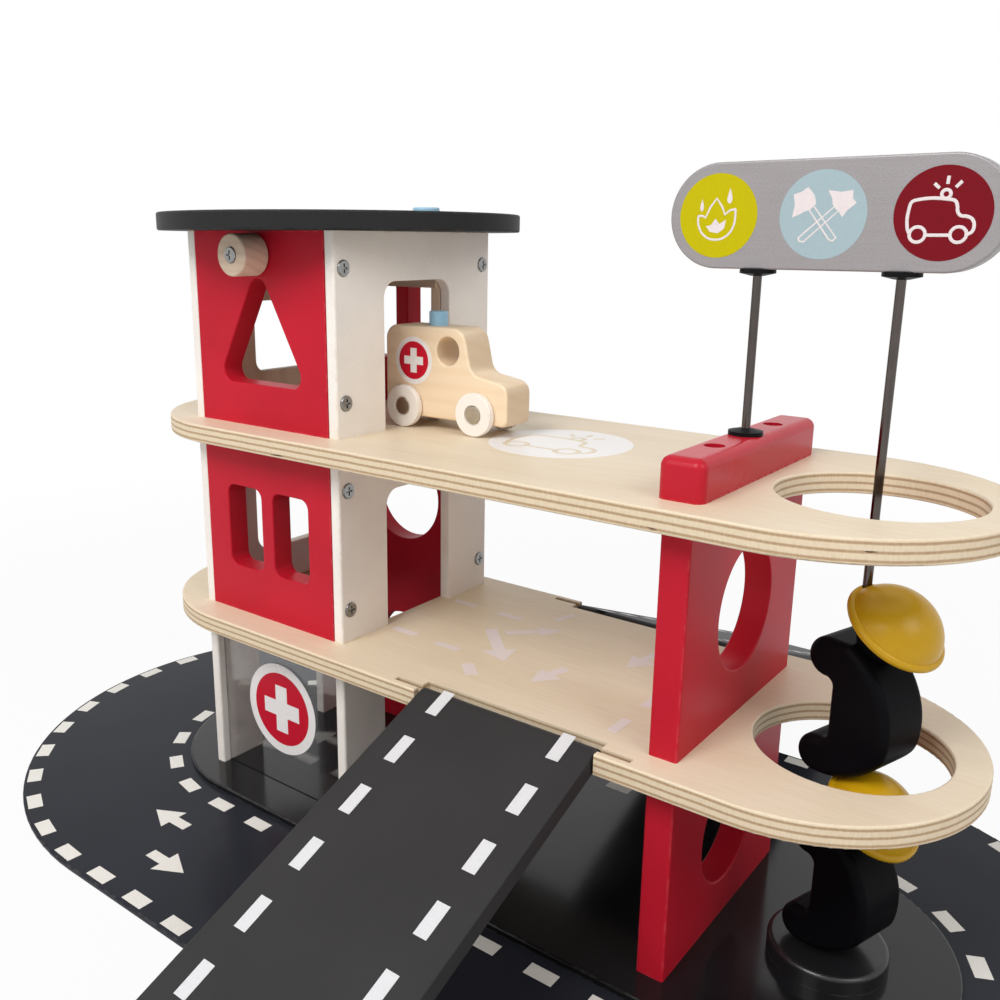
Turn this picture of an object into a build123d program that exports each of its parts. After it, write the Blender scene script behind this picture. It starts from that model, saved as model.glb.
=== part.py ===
from build123d import *
import os
from math import cos, radians, sin, sqrt

os.makedirs("parts", exist_ok=True)

# Base board and black ground plate
base_radius = 160.0
base_straight = 272.0
base_thickness = 3.0
base_edge_round = 1.0
plate_thickness = 3.0
plate_margin = 1.0

# The two plywood decks
deck_radius = 70.5
deck_left_x = -134.0
deck_right_x = 149.5
deck_thickness = 9.0
deck_edge_round = 0.8
pole_hole_x = 170.5
pole_ring_width = 12.5

# Heights of the three storeys
ground_storey_height = 88.0
middle_storey_height = 92.0
upper_storey_height = 93.5

# Tower: white side panels, red front boards and the tall red back board
tower_centre_x = -105.2
tower_width = 102.4
tower_front_inset = 16.25
tower_back_inset = 9.25
side_panel_thickness = 6.0
red_board_thickness = 12.0
board_edge_round = 1.2
rim_round = 0.8
door_width = 49.0
door_height = 70.6
door_corner = 8.0
ground_door_centre_y = 0.25
side_window_width = 51.0
side_window_sill = 20.0
side_window_top = 70.6
side_window_corner = 9.0
front_window_width = 25.0
front_window_height = 43.2
front_window_sill = 25.0
front_window_corner = 5.0
front_window_gap = 8.6
triangle_base_width = 63.3
triangle_height = 57.2
triangle_sill = 20.8
triangle_corner = 6.0
back_circle_radius = 26.0
ground_circle_height = 44.0
middle_circle_height = 46.0

# Clear pane of the ground storey, held in grooves of the side panels
pane_thickness = 2.0
pane_setback = 4.5
groove_depth = 2.0
pane_clearance = 0.1

# Roof
roof_radius = 91.0
roof_thickness = 8.5
roof_edge_round = 1.0
roof_beacon_radius = 7.0
roof_beacon_height = 4.0
roof_beacon_round = 1.0
roof_beacon_x = -76.0
roof_beacon_y = 36.0

# Red supports under the right side of the decks
support_x = 118.0
support_thickness = 12.0
support_inset = 13.0
support_hole_radius = 26.5

# Wood screws
screw_head_radius = 3.7
screw_head_height = 1.8
screw_head_sink = 1.0
screw_shank_radius = 1.2
screw_length = 18.0
screw_end_distance = 16.3
screw_clearance = 0.1
cross_slot_length = 4.2
cross_slot_width = 0.9
cross_slot_depth = 0.8
head_round = 0.5

# Long screws through the rod block and short ones under the base
block_screw_head_radius = 3.6
block_screw_head_height = 2.4
block_screw_shank_radius = 1.7
block_screw_reach = 14.0
block_screw_spacing = 58.0
block_screw_sink = 7.0
block_screw_seat_radius = 4.0
base_screw_head_radius = 3.2
base_screw_head_height = 1.8
base_screw_shank_radius = 1.4
base_screw_length = 20.0
base_screw_recess = 2.0
back_board_screw_spacing = 50.0

# Rod block, thin steel rods, collars and sign
block_width = 18.0
block_inset = 13.2
block_height = 16.0
block_edge_round = 4.0
rod_radius = 1.7
rod_clearance = 0.05
rod_seat_depth = 12.0
sign_seat_depth = 10.0
pole_x = 170.0
collar_radius = 6.75
collar_rim_height = 1.5
collar_cone_height = 1.0
collar_neck_radius = 2.6
sign_length = 120.0
sign_height = 39.0
sign_thickness = 10.0
sign_centre_x = 143.0
sign_bottom_above_deck = 79.7
sign_edge_round = 0.8

# Round foot on the ground plate that holds the bottom of the pole
pole_foot_radius = 24.0
pole_foot_height = 7.8
pole_foot_round = 2.0

# Ramps and their hinge pins
ramp_centre_x = 50.5
ramp_width = 88.5
ramp_thickness = 8.0
ramp_slope = 21.3
ramp_side_clearance = 1.0
ramp_foot_end = 2.5
ramp_edge_round = 0.8
notch_depth = 10.75
ramp_axis_inset = 4.5
pin_radius = 1.5
pin_clearance = 0.1
pin_slot_reach = 14.0
pin_end_gap = 0.3

# Winch
winch_shaft_radius = 5.0
winch_shaft_drop = 11.0
winch_bearing_clearance = 0.1
winch_shaft_end_depth = 6.0
knob_radius = 9.75
knob_length = 14.7
knob_gap = 0.3
knob_bore_depth = 9.0
knob_edge_round = 1.0

# Lift car
car_side_gap = 0.6
car_end_gap = 0.65
car_floor_thickness = 4.0
car_wall_thickness = 6.0
car_height = 76.0
car_frame_thickness = 6.0
car_frame_bar = 24.0
car_middle_bar = 10.0
car_window_sill = 21.0
car_window_height = 37.0
car_window_depth = 54.0
car_window_corner = 6.0
car_edge_round = 0.8

# Ambulance
van_left_x = -67.8
van_length = 74.0
van_centre_y = 4.375
van_width = 19.2
van_ride_height = 5.5
van_roof_height = 49.4
van_cab_front = 48.3
van_scuttle_back = 53.2
van_scuttle_height = 28.5
van_nose_height = 25.0
van_tail_round = 7.0
van_roof_round = 8.0
van_scuttle_round = 7.0
van_nose_round = 6.0
van_belly_round = 3.0
van_side_round = 1.2
van_window_radius = 6.75
van_window_back = 39.1
van_window_height = 38.4
van_beacon_radius = 4.6
van_beacon_height = 7.0
van_beacon_back = 26.0
van_beacon_round = 0.8
wheel_radius = 10.3
wheel_thickness = 3.5
wheel_edge_round = 0.6
wheel_gap = 0.3
wheel_floor_gap = 0.1
rear_axle_back = 13.6
front_axle_back = 57.0
axle_radius = 1.5
axle_clearance = 0.1
axle_cap_radius = 4.2
axle_cap_height = 0.8
hub_recess_radius = 4.8
hub_recess_depth = 1.0
axle_cap_round = 0.3

# Firefighters threaded on the pole
figure_turn = -18.0
figure_half_width = 13.0
figure_side_round = 3.5
figure_height_body = 56.6
arm_radius = 8.0
arm_reach = 6.3
leg_radius = 7.6
leg_reach = 7.8
throat_reach = 3.0
back_radius_share = 34 / 55
back_centre_share = 12.5 / 55
back_centre_height_share = 24.7 / 55
seat_height = 15.5
seat_round = 12.0
arm_pit_round = 3.0
lap_round = 3.0
helmet_back = 10.6
helmet_rise = 4.5
helmet_tilt = 35.0
helmet_radius = 19.0
helmet_rim_rise = 3.0
brim_radius = 19.6
brim_thickness = 3.4
brim_round = 1.6
head_radius = 11.0
head_seat_clearance = 0.15
pole_bore_clearance = 0.3
lower_figure_lift = 0.3
figure_head_room = 20.5

# Length by which a cutting shape runs past the piece that it cuts
overrun = 1.0

# Parts of a firefighter, worked out from the height of the body
arm_height = figure_height_body - arm_radius
helmet_height = figure_height_body + helmet_rise
figure_pitch = figure_height_body + figure_head_room
back_radius = back_radius_share * figure_height_body
back_centre_height = back_centre_height_share * figure_height_body
back_centre = back_centre_share * figure_height_body

# Heights of the floors, worked out from the storeys
base_top = base_thickness
floor_top = base_top + plate_thickness
middle_bottom = floor_top + ground_storey_height
middle_top = middle_bottom + deck_thickness
upper_bottom = middle_top + middle_storey_height
upper_top = upper_bottom + deck_thickness
roof_bottom = upper_top + upper_storey_height
roof_top = roof_bottom + roof_thickness

# Hole for the pole, the ring of the deck round its end keeping its width
pole_hole_radius = deck_right_x + deck_radius - pole_ring_width - pole_hole_x

# Faces of the tower, worked out from the edges of the decks
tower_left = tower_centre_x - tower_width / 2
tower_right = tower_centre_x + tower_width / 2
tower_front = tower_front_inset - deck_radius
tower_back = deck_radius - tower_back_inset
tower_centre_y = (tower_front + tower_back) / 2
shaft_left = tower_left + side_panel_thickness
shaft_right = tower_right - side_panel_thickness
shaft_front = tower_front + red_board_thickness
shaft_back = tower_back - red_board_thickness

# Posts of the lift car, which end where the doorway begins
car_post_depth = (shaft_back - shaft_front - door_width) / 2 - car_end_gap


def box(x0, x1, y0, y1, z0, z1):
    block = Box(x1 - x0, y1 - y0, z1 - z0)
    return Pos((x0 + x1) / 2, (y0 + y1) / 2, (z0 + z1) / 2) * block


def upright(x, y, z0, z1, radius):
    return Pos(x, y, (z0 + z1) / 2) * Cylinder(radius, z1 - z0)


def along_y(outline, x, y0, y1, z):
    return Pos(x, y1, z) * Rot(90, 0, 0) * extrude(outline, y1 - y0, dir=(0, 0, 1))


def along_x(outline, x0, x1, y, z):
    return Pos(x0, y, z) * Rot(0, 0, 90) * Rot(90, 0, 0) * extrude(outline, x1 - x0, dir=(0, 0, 1))


def stadium(left_x, right_x, radius, z0, z1):
    outline = Pos((left_x + right_x) / 2, 0) * Rectangle(right_x - left_x, 2 * radius)
    outline += Pos(left_x, 0) * Circle(radius)
    outline += Pos(right_x, 0) * Circle(radius)
    return Pos(0, 0, z0) * extrude(outline, z1 - z0)


def cut_with_rim(body, cutter, rim_plane, rounding):
    opened = body - cutter
    rim = new_edges(body, cutter, combined=opened).filter_by(rim_plane)
    return fillet(rim, rounding)


# A pan head screw pointing down its own axis, its head's underside at the origin
def screw(head_radius, head_height, shank_radius, length, slot_length):
    head = Pos(0, 0, head_height / 2) * Cylinder(head_radius, head_height)
    head = fillet(head.edges().group_by(Axis.Z)[-1], head_round)
    slot = Box(slot_length, cross_slot_width, cross_slot_depth * 2)
    slot += Box(cross_slot_width, slot_length, cross_slot_depth * 2)
    head -= Pos(0, 0, head_height) * slot
    return head + Pos(0, 0, -length / 2) * Cylinder(shank_radius, length)


def side_screw_seats():
    seats = []
    storeys = [(floor_top, middle_bottom, False), (middle_top, upper_bottom, True), (upper_top, roof_bottom, True)]
    for bottom, top, has_front_board in storeys:
        rows = [shaft_back + red_board_thickness / 2]
        if has_front_board:
            rows.append(tower_front + red_board_thickness / 2)
        for y in rows:
            for z in (bottom + screw_end_distance, top - screw_end_distance):
                seats.append(Pos(tower_right - screw_head_sink, y, z) * Rot(0, 90, 0))
                seats.append(Pos(tower_left + screw_head_sink, y, z) * Rot(0, -90, 0))
    return seats


def side_screw_holes():
    bore_length = screw_length + screw_clearance
    bore = Pos(0, 0, -bore_length / 2) * Cylinder(screw_shank_radius + screw_clearance, bore_length)
    sunk = screw_head_sink + overrun
    bore += Pos(0, 0, sunk / 2) * Cylinder(screw_head_radius + screw_clearance, sunk)
    return [seat * bore for seat in side_screw_seats()]


def make_side_screws():
    one = screw(screw_head_radius, screw_head_height, screw_shank_radius, screw_length, cross_slot_length)
    return Compound([seat * one for seat in side_screw_seats()])


def block_screw_places():
    return [(support_x, side * block_screw_spacing / 2) for side in (-1, 1)]


def block_screw_seat_z():
    return upper_top + block_height - block_screw_sink


def block_screw_holes():
    seat_z = block_screw_seat_z()
    bottom = upper_bottom - block_screw_reach - screw_clearance
    holes = []
    for x, y in block_screw_places():
        holes.append(upright(x, y, bottom, seat_z, block_screw_shank_radius + screw_clearance))
        holes.append(upright(x, y, seat_z, seat_z + block_screw_sink + overrun, block_screw_seat_radius))
    return holes


def make_block_screws():
    length = block_screw_seat_z() - upper_bottom + block_screw_reach
    one = screw(block_screw_head_radius, block_screw_head_height, block_screw_shank_radius, length, cross_slot_length)
    return Compound([Pos(x, y, block_screw_seat_z()) * one for x, y in block_screw_places()])


def base_screw_places():
    places = block_screw_places()
    back_y = shaft_back + red_board_thickness / 2
    for side in (-1, 1):
        places.append((tower_centre_x + side * back_board_screw_spacing / 2, back_y))
    return places


def base_screw_holes():
    holes = []
    for x, y in base_screw_places():
        top = base_screw_recess + base_screw_length + screw_clearance
        holes.append(upright(x, y, base_screw_recess, top, base_screw_shank_radius + screw_clearance))
        holes.append(upright(x, y, -overrun, base_screw_recess, base_screw_head_radius + screw_clearance))
    return holes


def make_base_screws():
    one = screw(base_screw_head_radius, base_screw_head_height, base_screw_shank_radius, base_screw_length, cross_slot_length)
    return Compound([Pos(x, y, base_screw_recess) * Rot(180, 0, 0) * one for x, y in base_screw_places()])


def make_base_board():
    board = stadium(-base_straight / 2, base_straight / 2, base_radius, 0, base_top)
    board = fillet(board.edges(), base_edge_round)
    return board - base_screw_holes()


def make_ground_plate():
    plate = stadium(deck_left_x, deck_right_x, deck_radius + plate_margin, base_top, floor_top)
    plate = fillet(plate.edges().group_by(Axis.Z)[-1], base_edge_round)
    plate -= upright(pole_x, 0, base_top - overrun, floor_top + overrun, rod_radius + rod_clearance)
    return plate - base_screw_holes()


def plain_deck(bottom):
    top = bottom + deck_thickness
    deck = stadium(deck_left_x, deck_right_x, deck_radius, bottom, top)
    deck = fillet(deck.edges(), deck_edge_round)
    pole_hole = upright(pole_hole_x, 0, bottom - overrun, top + overrun, pole_hole_radius)
    deck = cut_with_rim(deck, pole_hole, Plane.XY, deck_edge_round)
    return deck - box(shaft_left, shaft_right, shaft_front, tower_back, bottom - overrun, top + overrun)


def ramp_axis_y():
    return deck_radius - ramp_axis_inset


def ramp_axis_z():
    return middle_bottom + deck_thickness / 2


def notch_half():
    return ramp_width / 2 + ramp_side_clearance


def make_middle_deck():
    deck = plain_deck(middle_bottom)
    left = ramp_centre_x - notch_half()
    right = ramp_centre_x + notch_half()
    slot_left = left - pin_slot_reach
    slot_right = right + pin_slot_reach
    slot_half = pin_radius + pin_clearance
    low = middle_bottom - overrun
    high = middle_top + overrun
    for side in (-1, 1):
        wall = side * (deck_radius - notch_depth)
        edge = side * (deck_radius + overrun)
        deck -= box(left, right, min(wall, edge), max(wall, edge), low, high)
        y = side * ramp_axis_y()
        deck -= box(slot_left, slot_right, y - slot_half, y + slot_half, ramp_axis_z(), high)
        deck -= along_x(Circle(slot_half), slot_left, slot_right, y, ramp_axis_z())
    return deck


def make_upper_deck():
    return plain_deck(upper_bottom) - block_screw_holes()


def door_cutter(bottom, centre_y):
    outline = Pos(0, (door_height - door_corner) / 2) * Rectangle(door_width, door_height + door_corner)
    outline = fillet(outline.vertices().group_by(Axis.Y)[-1], door_corner)
    return along_x(outline, tower_left - overrun, tower_right + overrun, centre_y, bottom)


def side_window_cutter(bottom):
    outline = RectangleRounded(side_window_width, side_window_top - side_window_sill, side_window_corner)
    centre_z = bottom + (side_window_sill + side_window_top) / 2
    return along_x(outline, tower_left - overrun, tower_right + overrun, tower_centre_y, centre_z)


def side_panel(on_right, bottom, top, cutter):
    left = shaft_right if on_right else tower_left
    panel = box(left, left + side_panel_thickness, tower_front, tower_back, bottom, top)
    panel = fillet(panel.edges().filter_by(Axis.Z), board_edge_round)
    panel = cut_with_rim(panel, cutter & panel_space(left, bottom, top), Plane.YZ, rim_round)
    return panel - side_screw_holes()


# The stretch of space that one side panel fills, so that a cutter meets only that panel
def panel_space(left, bottom, top):
    right = left + side_panel_thickness
    return box(left - overrun, right + overrun, tower_front, tower_back, bottom - overrun, top)


def pane_groove():
    y0 = tower_front + pane_setback - pane_clearance
    y1 = y0 + pane_thickness + 2 * pane_clearance
    return box(shaft_left - groove_depth, shaft_right + groove_depth, y0, y1, floor_top - overrun, middle_bottom)


def make_garage_pane():
    y0 = tower_front + pane_setback
    reach = groove_depth - pane_clearance
    return box(shaft_left - reach, shaft_right + reach, y0, y0 + pane_thickness, floor_top, middle_bottom - pane_clearance)


def make_ground_panel(on_right):
    cutter = door_cutter(floor_top, ground_door_centre_y)
    return side_panel(on_right, floor_top, middle_bottom, cutter) - pane_groove()


def make_middle_panel(on_right):
    cutter = door_cutter(middle_top, tower_centre_y) if on_right else side_window_cutter(middle_top)
    return side_panel(on_right, middle_top, upper_bottom, cutter)


def make_upper_panel(on_right):
    cutter = door_cutter(upper_top, tower_centre_y) if on_right else side_window_cutter(upper_top)
    return side_panel(on_right, upper_top, roof_bottom, cutter)


def twin_windows(bottom, y0, y1):
    outline = RectangleRounded(front_window_width, front_window_height, front_window_corner)
    centre_z = bottom + front_window_sill + front_window_height / 2
    offset = (front_window_gap + front_window_width) / 2
    return [along_y(outline, tower_centre_x + side * offset, y0, y1, centre_z) for side in (-1, 1)]


def front_board(bottom, top):
    return box(shaft_left, shaft_right, tower_front, shaft_front, bottom, top)


def make_middle_front():
    board = front_board(middle_top, upper_bottom)
    for cutter in twin_windows(middle_top, tower_front - overrun, shaft_front + overrun):
        board = cut_with_rim(board, cutter, Plane.XZ, rim_round)
    return board - side_screw_holes()


def winch_z():
    return roof_bottom - winch_shaft_drop


def make_upper_front():
    board = front_board(upper_top, roof_bottom)
    sill = upper_top + triangle_sill
    half = triangle_base_width / 2
    outline = Polygon((-half, 0), (half, 0), (0, triangle_height), align=None)
    outline = fillet(outline.vertices(), triangle_corner)
    cutter = along_y(outline, tower_centre_x, tower_front - overrun, shaft_front + overrun, sill)
    board = cut_with_rim(board, cutter, Plane.XZ, rim_round)
    bearing = Circle(winch_shaft_radius + winch_bearing_clearance)
    board -= along_y(bearing, tower_centre_x, tower_front - overrun, shaft_front + overrun, winch_z())
    return board - side_screw_holes()


def make_back_board():
    board = box(shaft_left, shaft_right, shaft_back, tower_back, floor_top, roof_bottom)
    y0 = shaft_back - overrun
    y1 = tower_back + overrun
    for height in (floor_top + ground_circle_height, middle_top + middle_circle_height):
        cutter = along_y(Circle(back_circle_radius), tower_centre_x, y0, y1, height)
        board = cut_with_rim(board, cutter, Plane.XZ, rim_round)
    for cutter in twin_windows(upper_top, y0, y1):
        board = cut_with_rim(board, cutter, Plane.XZ, rim_round)
    bearing = Circle(winch_shaft_radius + winch_bearing_clearance)
    board -= along_y(bearing, tower_centre_x, y0, shaft_back + winch_shaft_end_depth, winch_z())
    return board - side_screw_holes() - base_screw_holes()


def make_roof():
    roof = upright(tower_centre_x, tower_centre_y, roof_bottom, roof_top, roof_radius)
    return fillet(roof.edges(), roof_edge_round)


def make_roof_beacon():
    beacon = upright(roof_beacon_x, roof_beacon_y, roof_top, roof_top + roof_beacon_height, roof_beacon_radius)
    return fillet(beacon.edges().group_by(Axis.Z)[-1], roof_beacon_round)


def make_support(bottom, top, hole_height):
    half_x = support_thickness / 2
    half_y = deck_radius - support_inset
    board = box(support_x - half_x, support_x + half_x, -half_y, half_y, bottom, top)
    board = fillet(board.edges().filter_by(Axis.Z), board_edge_round)
    hole = along_x(Circle(support_hole_radius), support_x - support_thickness, support_x + support_thickness, 0, bottom + hole_height)
    board = cut_with_rim(board, hole, Plane.YZ, rim_round)
    return board - block_screw_holes() - base_screw_holes()


def make_rod_block():
    half_x = block_width / 2
    half_y = deck_radius - block_inset
    block = box(support_x - half_x, support_x + half_x, -half_y, half_y, upper_top, upper_top + block_height)
    block = fillet(block.edges().filter_by(Axis.Z), block_edge_round)
    block = fillet(block.edges().group_by(Axis.Z)[-1], block_edge_round)
    top = upper_top + block_height
    block -= upright(support_x, 0, top - rod_seat_depth, top + overrun, rod_radius + rod_clearance)
    return block - block_screw_holes()


def sign_bottom():
    return upper_top + sign_bottom_above_deck


def make_sign_rod():
    return upright(support_x, 0, upper_top + block_height - rod_seat_depth, sign_bottom() + sign_seat_depth, rod_radius)


def make_pole():
    return upright(pole_x, 0, base_top, sign_bottom() + sign_seat_depth, rod_radius)


def make_collars():
    rim = Pos(0, 0, collar_rim_height / 2) * Cylinder(collar_radius, collar_rim_height)
    cone = Cone(collar_radius, collar_neck_radius, collar_cone_height)
    collar = rim + Pos(0, 0, collar_rim_height + collar_cone_height / 2) * cone
    collar -= Cylinder(rod_radius + rod_clearance, 4 * (collar_rim_height + collar_cone_height))
    turned = Rot(180, 0, 0) * collar
    places = [Pos(support_x, 0, upper_top + block_height) * collar]
    places.append(Pos(support_x, 0, sign_bottom()) * turned)
    places.append(Pos(pole_x, 0, sign_bottom()) * turned)
    return Compound(places)


def make_sign():
    centre_z = sign_bottom() + sign_height / 2
    board = along_y(SlotOverall(sign_length, sign_height), sign_centre_x, -sign_thickness / 2, sign_thickness / 2, centre_z)
    board = fillet(board.edges().filter_by(Plane.XZ), sign_edge_round)
    for x in (support_x, pole_x):
        board -= upright(x, 0, sign_bottom() - overrun, sign_bottom() + sign_seat_depth, rod_radius + rod_clearance)
    return board


def make_pole_foot():
    foot = upright(pole_x, 0, floor_top, floor_top + pole_foot_height, pole_foot_radius)
    foot = fillet(foot.edges().group_by(Axis.Z)[-1], pole_foot_round)
    return foot - upright(pole_x, 0, floor_top - overrun, floor_top + pole_foot_height + overrun, rod_radius + rod_clearance)


# The ramp seen from its side, with the hinge axis at the origin and the foot to the right on the floor
def ramp_outline():
    along = cos(radians(ramp_slope))
    down = sin(radians(ramp_slope))
    half = ramp_thickness / 2
    drop = ramp_axis_z()
    low_run = (drop - along * half) / down
    high_run = (drop - ramp_foot_end + along * half) / down
    low_foot = low_run * along - down * half
    high_foot = high_run * along + down * half
    top_start = (down * half, along * half)
    low_start = (-down * half, -along * half)
    foot = [(high_foot, ramp_foot_end - drop), (high_foot, -drop), (low_foot, -drop)]
    return Polygon(top_start, *foot, low_start, align=None)


def make_ramp(side):
    x0 = ramp_centre_x - ramp_width / 2
    x1 = ramp_centre_x + ramp_width / 2
    ramp = along_x(ramp_outline(), x0, x1, 0, 0)
    ramp = fillet(ramp.edges().filter_by(lambda edge: edge.length > 2 * ramp_width), ramp_edge_round)
    nose = along_x(Circle(ramp_thickness / 2), x0, x1, 0, 0)
    ramp += fillet(nose.edges(), ramp_edge_round)
    ramp -= along_x(Circle(pin_radius + pin_clearance), x0 - overrun, x1 + overrun, 0, 0)
    if side < 0:
        ramp = mirror(ramp, Plane.XZ)
    return Pos(0, side * ramp_axis_y(), ramp_axis_z()) * ramp


def make_ramp_pin(side):
    reach = notch_half() + pin_slot_reach - pin_end_gap
    return along_x(Circle(pin_radius), ramp_centre_x - reach, ramp_centre_x + reach, side * ramp_axis_y(), ramp_axis_z())


def knob_front():
    return tower_front - knob_gap - knob_length


def make_winch_shaft():
    y0 = tower_front - knob_gap - knob_bore_depth
    y1 = shaft_back + winch_shaft_end_depth - knob_gap
    return along_y(Circle(winch_shaft_radius), tower_centre_x, y0, y1, winch_z()) - knob_screw_bore()


def knob_screw_seat():
    return Pos(tower_centre_x, knob_front() + screw_head_sink, winch_z()) * Rot(90, 0, 0)


def knob_screw_reach():
    return knob_length - screw_head_sink


def knob_screw_bore():
    bore = Pos(0, 0, -knob_screw_reach() / 2) * Cylinder(screw_shank_radius + screw_clearance, knob_screw_reach())
    sunk = screw_head_sink + overrun
    bore += Pos(0, 0, sunk / 2) * Cylinder(screw_head_radius + screw_clearance, sunk)
    return knob_screw_seat() * bore


def make_knob():
    y1 = tower_front - knob_gap
    knob = along_y(Circle(knob_radius), tower_centre_x, knob_front(), y1, winch_z())
    knob = fillet(knob.edges(), knob_edge_round)
    bore = Circle(winch_shaft_radius + rod_clearance)
    knob -= along_y(bore, tower_centre_x, y1 - knob_bore_depth, y1 + overrun, winch_z())
    return knob - knob_screw_bore()


def make_knob_screw():
    length = knob_screw_reach() - screw_clearance
    return knob_screw_seat() * screw(screw_head_radius, screw_head_height, screw_shank_radius, length, cross_slot_length)


def car_left():
    return shaft_left + car_side_gap


def car_right():
    return shaft_right - car_side_gap


def car_front():
    return shaft_front + car_end_gap


def car_back():
    return shaft_back - car_end_gap


def car_bottom():
    return upper_top - car_floor_thickness


def car_top():
    return car_bottom() + car_height


def car_wall_top():
    return car_top() - car_frame_thickness


def make_car_floor():
    return box(car_left(), car_right(), car_front(), car_back(), car_bottom(), upper_top)


def make_car_left_wall():
    x1 = car_left() + car_wall_thickness
    wall = box(car_left(), x1, car_front(), car_back(), upper_top, car_wall_top())
    outline = RectangleRounded(car_window_depth, car_window_height, car_window_corner)
    centre_z = upper_top + car_window_sill + car_window_height / 2
    cutter = along_x(outline, car_left() - overrun, x1 + overrun, tower_centre_y, centre_z)
    return cut_with_rim(wall, cutter, Plane.YZ, car_edge_round)


def make_car_post(at_front):
    y0 = car_front() if at_front else car_back() - car_post_depth
    post = box(car_right() - car_wall_thickness, car_right(), y0, y0 + car_post_depth, upper_top, car_wall_top())
    return fillet(post.edges().filter_by(Axis.Z), car_edge_round)


def make_car_frame():
    z0 = car_wall_top()
    half = car_middle_bar / 2
    frame = box(car_left(), car_right(), car_front(), car_front() + car_frame_bar, z0, car_top())
    frame += box(car_left(), car_right(), car_back() - car_frame_bar, car_back(), z0, car_top())
    frame += box(tower_centre_x - half, tower_centre_x + half, car_front(), car_back(), z0, car_top())
    return frame


def van_x(distance_from_tail):
    return van_left_x + distance_from_tail


def van_floor():
    return upper_top + wheel_floor_gap


def van_side(side):
    return van_centre_y + side * van_width / 2


def van_bore(distance_from_tail):
    y0 = van_side(-1) - overrun
    y1 = van_side(1) + overrun
    z = van_floor() + wheel_radius
    return along_y(Circle(axle_radius + axle_clearance), van_x(distance_from_tail), y0, y1, z)


def make_van():
    low = van_ride_height
    corners = [(0, low), (0, van_roof_height), (van_cab_front, van_roof_height)]
    corners += [(van_scuttle_back, van_scuttle_height), (van_length, van_nose_height), (van_length, low)]
    roundings = [van_belly_round, van_tail_round, van_roof_round, van_scuttle_round, van_nose_round, van_belly_round]
    outline = Polygon(*corners, align=None)
    for corner, rounding in zip(corners, roundings):
        near = outline.vertices().sort_by_distance(Vector(corner[0], corner[1], 0))[0]
        outline = fillet(near, rounding)
    van = along_y(outline, van_left_x, van_side(-1), van_side(1), van_floor())
    van = fillet(van.edges().filter_by(Plane.XZ), van_side_round)
    window = along_y(Circle(van_window_radius), van_x(van_window_back), van_side(-1) - overrun, van_side(1) + overrun, van_floor() + van_window_height)
    van = cut_with_rim(van, window, Plane.XZ, rim_round)
    return van - van_bore(rear_axle_back) - van_bore(front_axle_back)


def make_van_beacon():
    bottom = van_floor() + van_roof_height
    beacon = upright(van_x(van_beacon_back), van_centre_y, bottom, bottom + van_beacon_height, van_beacon_radius)
    return fillet(beacon.edges().group_by(Axis.Z)[-1], van_beacon_round)


def wheel_face(side):
    return van_side(side) + side * (wheel_gap + wheel_thickness)


def make_wheels(distance_from_tail):
    x = van_x(distance_from_tail)
    z = van_floor() + wheel_radius
    pair = []
    for side in (-1, 1):
        inner = van_side(side) + side * wheel_gap
        outer = wheel_face(side)
        wheel = along_y(Circle(wheel_radius), x, min(inner, outer), max(inner, outer), z)
        wheel = fillet(wheel.edges(), wheel_edge_round)
        seat = outer - side * hub_recess_depth
        past = outer + side * overrun
        wheel -= along_y(Circle(hub_recess_radius), x, min(seat, past), max(seat, past), z)
        wheel -= along_y(Circle(axle_radius + rod_clearance), x, min(inner, outer) - overrun, max(inner, outer) + overrun, z)
        pair.append(wheel)
    return Compound(pair)


def make_axle(distance_from_tail):
    x = van_x(distance_from_tail)
    z = van_floor() + wheel_radius
    seat_low = wheel_face(-1) + hub_recess_depth
    seat_high = wheel_face(1) - hub_recess_depth
    axle = along_y(Circle(axle_radius), x, seat_low, seat_high, z)
    axle += fillet(along_y(Circle(axle_cap_radius), x, seat_low - axle_cap_height, seat_low, z).edges().group_by(Axis.Y)[0], axle_cap_round)
    axle += fillet(along_y(Circle(axle_cap_radius), x, seat_high, seat_high + axle_cap_height, z).edges().group_by(Axis.Y)[-1], axle_cap_round)
    return axle


# A firefighter stands in its own frame: the pole is its Z axis, it looks along minus X
def figure_place(bottom):
    return Pos(pole_x, 0, bottom) * Rot(0, 0, figure_turn)


def lower_figure_bottom():
    return floor_top + pole_foot_height + lower_figure_lift


def upper_figure_bottom():
    return lower_figure_bottom() + figure_pitch


def figure_bore():
    return Cylinder(rod_radius + pole_bore_clearance, 4 * figure_height_body)


def head_seat():
    return Pos(helmet_back, 0, helmet_height) * Rot(0, helmet_tilt, 0)


# How far behind the pole the rounded back lies at a height above the feet
def back_reach(height):
    return sqrt(back_radius ** 2 - (height - back_centre_height) ** 2) - back_centre


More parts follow.
